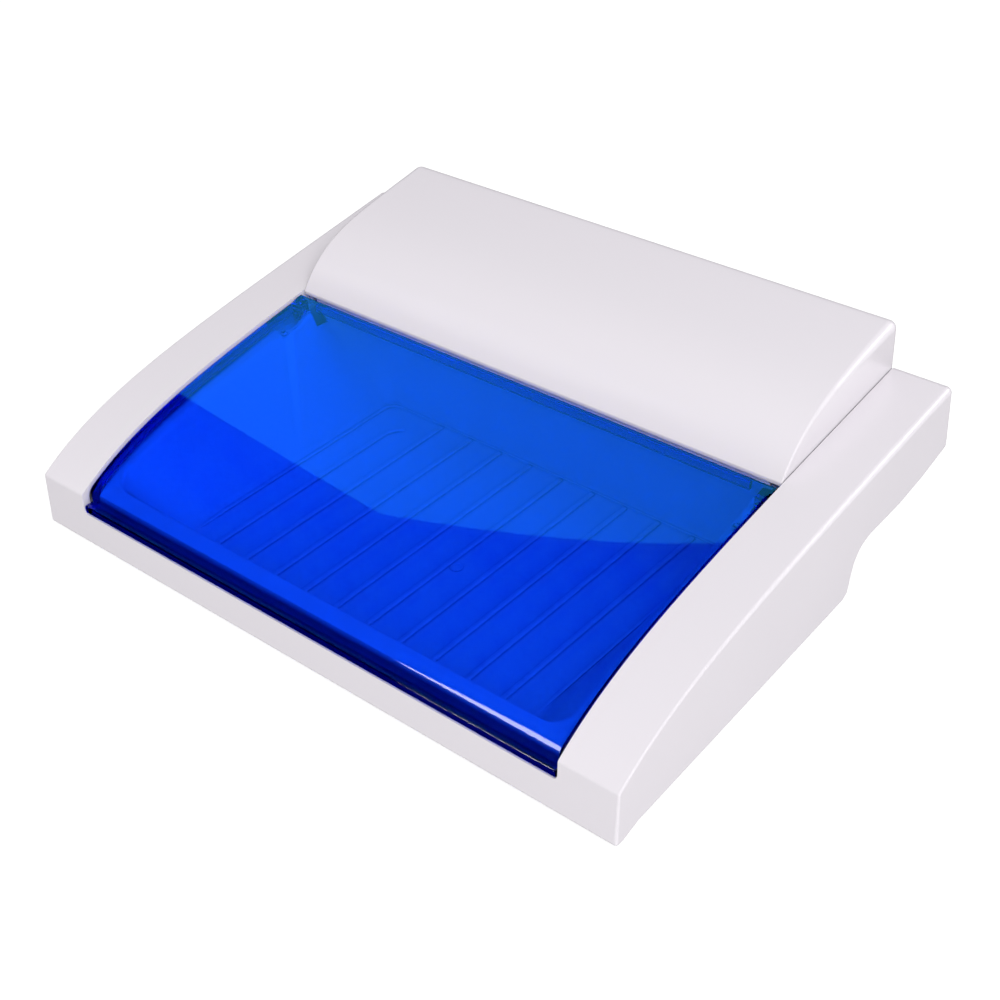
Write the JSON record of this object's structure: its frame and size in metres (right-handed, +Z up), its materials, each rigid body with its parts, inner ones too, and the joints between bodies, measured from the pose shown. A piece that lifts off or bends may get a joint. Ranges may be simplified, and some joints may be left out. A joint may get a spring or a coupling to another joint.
{
  "type": "desktop uv steriliser cabinet",
  "caption": "Low wedge-shaped tabletop cabinet with a ribbed tray under a curved tinted lift-up lid, and a raised hood behind it that holds an ultraviolet lamp.",
  "frame": {"origin": "centre of the bounding box's underside, level with the soles of the rubber feet", "axes": "+X across the cabinet towards the right cheek, +Y from the front wall towards the rear, +Z up"},
  "size_m": [0.38, 0.2737, 0.1193],
  "materials": {
    "white_moulding": "glossy white moulding",
    "grey_pan": "fine-grained grey moulding",
    "blue_lid": "clear deep blue moulding, polished",
    "black_rubber": "moulded rubber",
    "black_plastic": "satin black moulding",
    "steel": "zinc-plated steel",
    "aluminium": "bright aluminium",
    "lamp_glass": "clear quartz glass",
    "nylon": "natural nylon",
    "wire_sheath": "soft white sheath"
  },
  "bodies": {
    "base": {"base_shell": "white_moulding", "bottom_pan": "grey_pan", "inner_tray": "white_moulding", "hood_cover": "white_moulding", "rear_panel": "white_moulding", "hinge_pin_left": "steel", "hinge_pin_right": "steel", "hinge_bush_left": "nylon", "hinge_bush_right": "nylon", "lamp_tube": "lamp_glass", "lamp_cap_left": "aluminium", "lamp_cap_right": "aluminium", "lamp_holder_left": "white_moulding", "lamp_holder_right": "white_moulding", "lamp_reflector": "aluminium", "ballast": "steel", "starter_can": "aluminium", "starter_socket": "white_moulding", "terminal_block": "nylon", "wire_inlet": "black_plastic", "wire_switch": "black_plastic", "wire_lamp_left": "wire_sheath", "wire_lamp_right": "wire_sheath", "rocker_frame": "black_plastic", "cord_gland": "black_plastic", "foot_front_left": "black_rubber", "foot_front_right": "black_rubber", "foot_rear_left": "black_rubber", "foot_rear_right": "black_rubber", "pan_screw_front_left": "steel", "pan_screw_front_right": "steel", "pan_screw_rear_left": "steel", "pan_screw_rear_right": "steel", "holder_screw_left": "steel", "holder_screw_right": "steel", "ballast_screw_left": "steel", "ballast_screw_right": "steel", "hood_screw_left": "steel", "hood_screw_right": "steel"},
    "lid": {"lid": "blue_lid"},
    "rocker": {"rocker_button": "black_plastic"}
  },
  "joints": [
    {"name": "lid_hinge", "type": "hinge", "parent": "base", "child": "lid", "pos_m": [0, 0.0255, 0.071], "axis": [-1, 0, 0], "range_deg": [0, 100]},
    {"name": "rocker_hinge", "type": "hinge", "parent": "base", "child": "rocker", "pos_m": [0.105, 0.1285, 0.0745], "axis": [0, 0, -1], "range_deg": [0, 16]}
  ]
}
